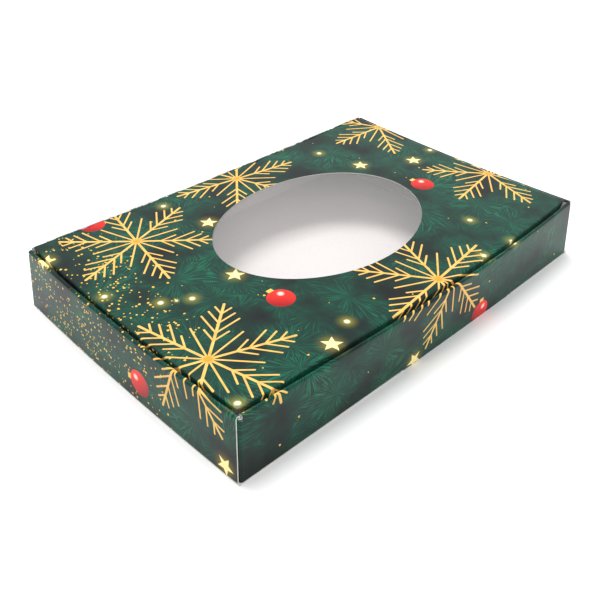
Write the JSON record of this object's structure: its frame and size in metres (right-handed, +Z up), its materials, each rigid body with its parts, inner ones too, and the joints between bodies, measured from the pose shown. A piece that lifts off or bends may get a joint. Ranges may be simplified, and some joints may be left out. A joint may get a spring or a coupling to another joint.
{
  "type": "sweet box",
  "caption": "Flat gift carton for sweets: fir-green print with gold snowflakes and red baubles, hinged lid with an oval film window, tuck flap and side flaps, rolled walls",
  "frame": {"origin": "middle of the underside of the carton", "axes": "X runs along the front wall, Y from the front wall to the hinge wall, Z up; the lid turns about a line along X at the top of the hinge wall"},
  "size_m": [0.23, 0.15, 0.032],
  "materials": {
    "printed_board": "glossy laminated print on thin board",
    "white_board": "matte white coated board",
    "clear_film": "thin clear glossy film"
  },
  "bodies": {
    "carton": {"base_panel": "printed_board", "back_wall": "printed_board", "front_outer_wall": "printed_board", "front_ridge": "printed_board", "front_inner_wall": "white_board", "left_outer_wall": "printed_board", "left_ridge": "printed_board", "left_inner_wall": "white_board", "left_floor_flange": "white_board", "right_outer_wall": "printed_board", "right_ridge": "printed_board", "right_inner_wall": "white_board", "right_floor_flange": "white_board", "front_left_corner_flap": "white_board", "front_right_corner_flap": "white_board", "back_left_corner_flap": "white_board", "back_right_corner_flap": "white_board"},
    "lid": {"lid_panel": "printed_board", "window_film": "clear_film"},
    "tuck_flap": {"tuck_flap": "printed_board"},
    "left_side_flap": {"left_side_flap": "printed_board"},
    "right_side_flap": {"right_side_flap": "printed_board"}
  },
  "joints": [
    {"name": "lid_hinge", "type": "hinge", "parent": "carton", "child": "lid", "pos_m": [0, 0.07475, 0.03175], "axis": [-1, 0, 0], "range_deg": [0, 180]},
    {"name": "tuck_flap_crease", "type": "hinge", "parent": "lid", "child": "tuck_flap", "pos_m": [0, -0.0714, 0.0315], "axis": [1, 0, 0], "range_deg": [0, 85], "stiffness_Nm_per_rad": 0.002},
    {"name": "left_side_flap_crease", "type": "hinge", "parent": "lid", "child": "left_side_flap", "pos_m": [-0.1116, 0, 0.0315], "axis": [0, -1, 0], "range_deg": [0, 85], "stiffness_Nm_per_rad": 0.0015},
    {"name": "right_side_flap_crease", "type": "hinge", "parent": "lid", "child": "right_side_flap", "pos_m": [0.1116, 0, 0.0315], "axis": [0, 1, 0], "range_deg": [0, 85], "stiffness_Nm_per_rad": 0.0015}
  ]
}
